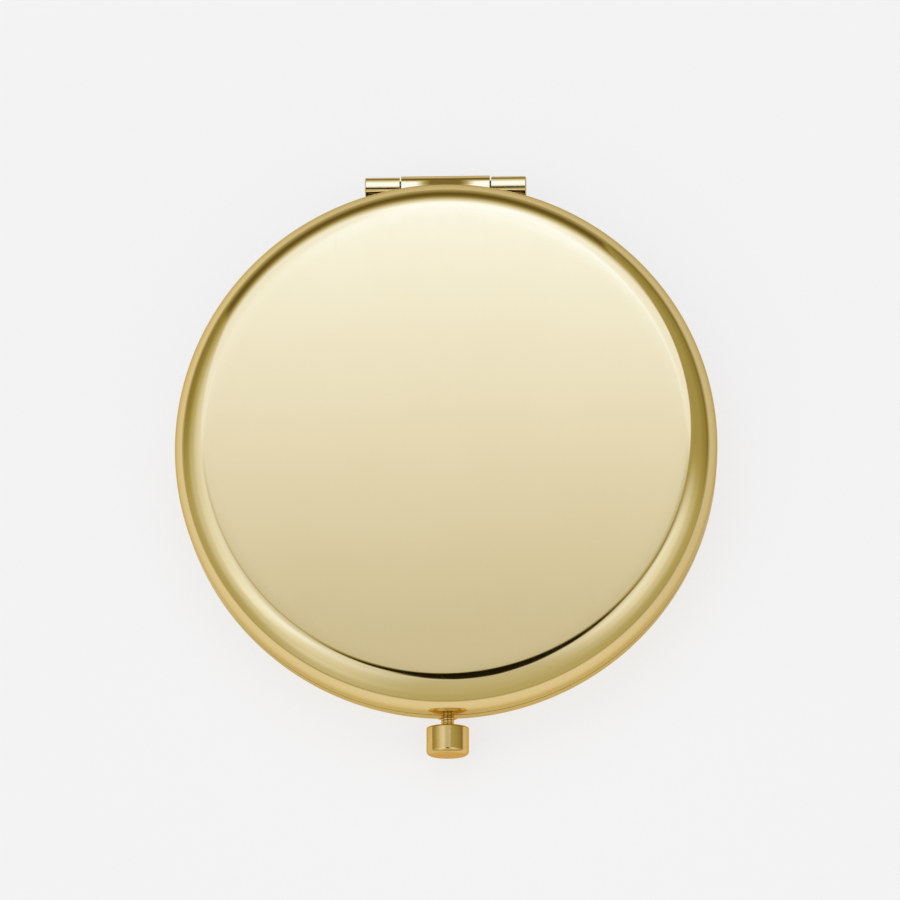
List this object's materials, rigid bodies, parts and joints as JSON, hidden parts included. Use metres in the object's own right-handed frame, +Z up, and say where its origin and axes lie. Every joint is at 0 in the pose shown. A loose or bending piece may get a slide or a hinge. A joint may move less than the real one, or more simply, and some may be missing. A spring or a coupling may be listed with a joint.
{
  "type": "compact mirror",
  "caption": "Round push-button compact mirror with a drawn metal lid and base, a barrel hinge, a plain and a magnifying mirror, and a sprung latch button.",
  "frame": {"origin": "centre of the base's flat underside", "axes": "+Z up through the closed case, +Y towards the hinge, -Y towards the push button"},
  "size_m": [0.07, 0.0768, 0.0126],
  "materials": {
    "gold_plated_sheet": "bright pale gold plating on drawn steel",
    "gold_plated_turned": "bright pale gold plating on turned brass",
    "steel_pin": "drawn steel wire",
    "spring_steel": "bright spring strip",
    "mirror_glass": "silvered float glass with a ground edge",
    "foam": "matt adhesive foam"
  },
  "bodies": {
    "base": {"base_shell": "gold_plated_sheet", "base_tray": "gold_plated_sheet", "base_mirror_pad": "foam", "base_mirror": "mirror_glass", "base_hinge_leaf": "gold_plated_sheet", "base_leaf_rivets": "gold_plated_turned", "hinge_pin": "steel_pin", "stem_bush": "gold_plated_turned", "latch_spring": "spring_steel"},
    "button": {"button_cap": "gold_plated_turned", "button_stem": "gold_plated_turned", "stem_nut": "gold_plated_turned"},
    "lid": {"lid_shell": "gold_plated_sheet", "lid_tray": "gold_plated_sheet", "lid_mirror_pad": "foam", "lid_mirror": "mirror_glass", "lid_hinge_leaf": "gold_plated_sheet", "lid_leaf_rivets": "gold_plated_turned"}
  },
  "joints": [
    {"name": "lid_hinge", "type": "hinge", "parent": "base", "child": "lid", "pos_m": [0, 0.0355, 0.0063], "axis": [-1, 0, 0], "range_deg": [0, 180]},
    {"name": "button_press", "type": "slide", "parent": "base", "child": "button", "axis": [0, 1, 0], "range_m": [0, 0.00105], "stiffness_N_per_m": 1900, "springref_m": -0.0004, "deforming": ["latch_spring"]}
  ]
}
